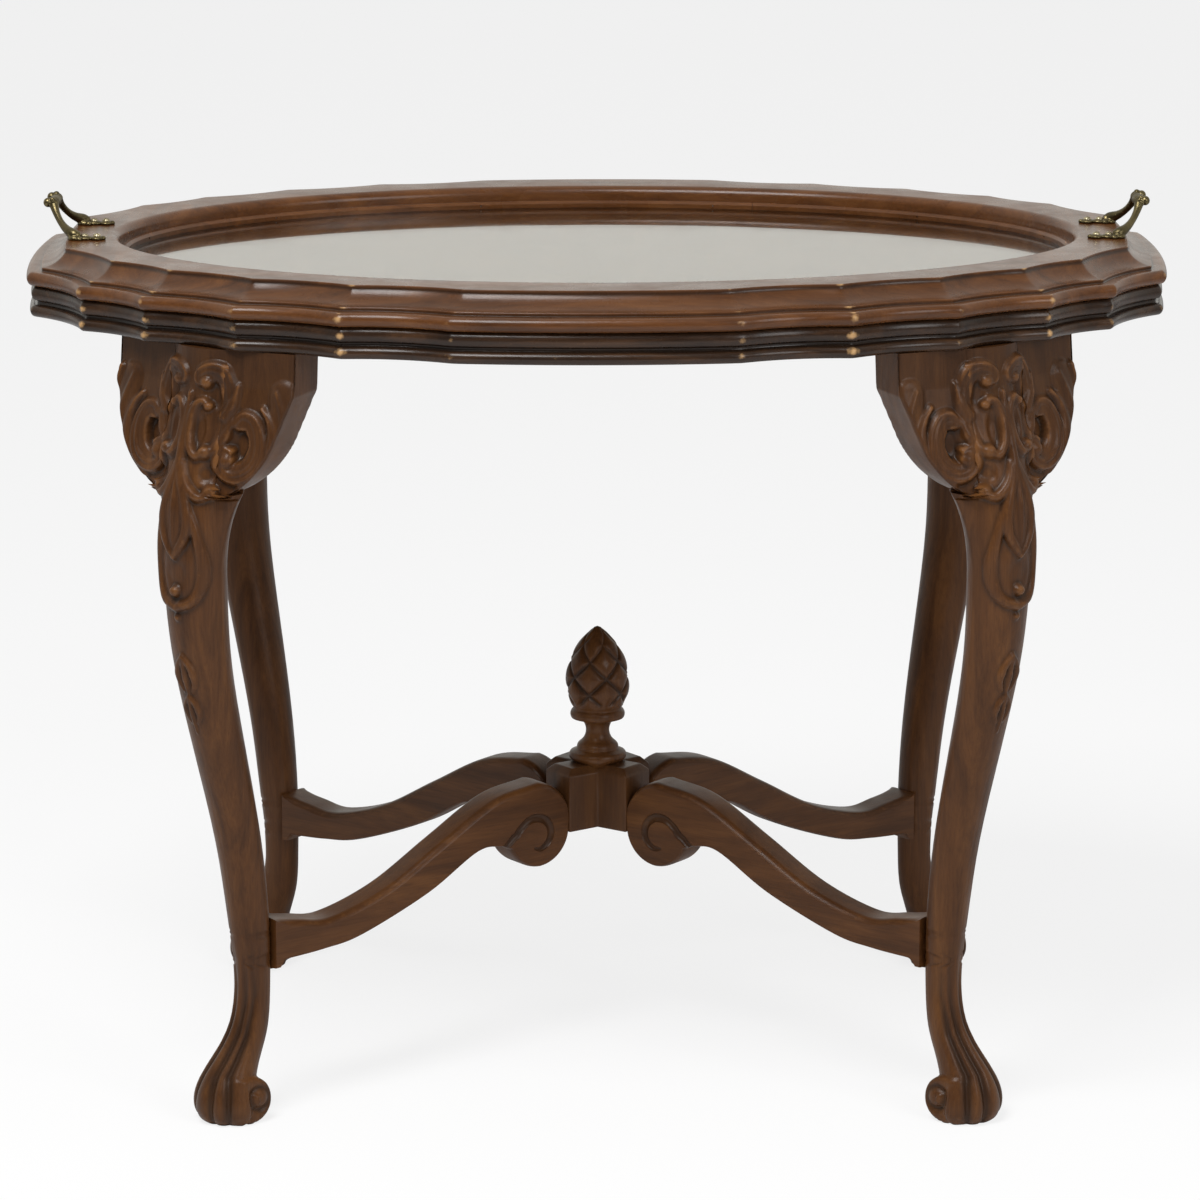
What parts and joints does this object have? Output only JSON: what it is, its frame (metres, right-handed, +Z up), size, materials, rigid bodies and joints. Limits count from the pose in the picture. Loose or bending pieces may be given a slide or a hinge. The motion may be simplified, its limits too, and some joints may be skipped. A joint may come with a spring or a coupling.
{
  "type": "tray top tea table",
  "caption": "Low occasional table with carved cabriole legs, a scrolled cross stretcher with a pine cone finial, and a scalloped oval glazed tray with brass handles that lifts off.",
  "frame": {"origin": "on the floor under the middle of the table", "axes": "+X along the table towards its right-hand end, +Y across it to the back, +Z up"},
  "size_m": [0.8288, 0.5896, 0.645],
  "materials": {
    "walnut": "satin varnish, visible grain",
    "tray_wood": "satin varnish, worn edges",
    "dark_wood": "dark stain, polished",
    "veneer": "satin",
    "clear_glass": "clear, polished",
    "antique_brass": "dull bronze patina",
    "screw_brass": "worn bright",
    "steel": "plain",
    "plain_wood": "unfinished"
  },
  "bodies": {
    "base": {"fixed_top": "dark_wood", "top_veneer": "veneer", "leg_front_left": "walnut", "leg_front_right": "walnut", "leg_back_left": "walnut", "leg_back_right": "walnut", "ear_end_front_left": "walnut", "ear_end_front_right": "walnut", "ear_end_back_left": "walnut", "ear_end_back_right": "walnut", "ear_side_front_left": "walnut", "ear_side_front_right": "walnut", "ear_side_back_left": "walnut", "ear_side_back_right": "walnut", "glue_block_front_left": "plain_wood", "glue_block_front_right": "plain_wood", "glue_block_back_left": "plain_wood", "glue_block_back_right": "plain_wood", "stretcher_front_left": "walnut", "stretcher_front_right": "walnut", "stretcher_back_left": "walnut", "stretcher_back_right": "walnut", "leg_dowels": "plain_wood", "block_screws": "steel", "stretcher_dowels": "plain_wood", "stretcher_hub": "walnut", "hub_dowels": "plain_wood", "finial": "walnut"},
    "tray": {"tray_rail_front": "tray_wood", "tray_rail_back": "tray_wood", "tray_rail_left": "tray_wood", "tray_rail_right": "tray_wood", "tray_rail_dowels": "plain_wood", "tray_glass": "clear_glass", "glazing_bead": "tray_wood", "glazing_pins": "steel", "handle_left": "antique_brass", "handle_right": "antique_brass", "handle_screws_left": "screw_brass", "handle_screws_right": "screw_brass"}
  },
  "joints": [
    {"name": "tray_lift", "type": "slide", "parent": "base", "child": "tray", "axis": [0, 0, 1], "range_m": [0, 0.3]}
  ]
}
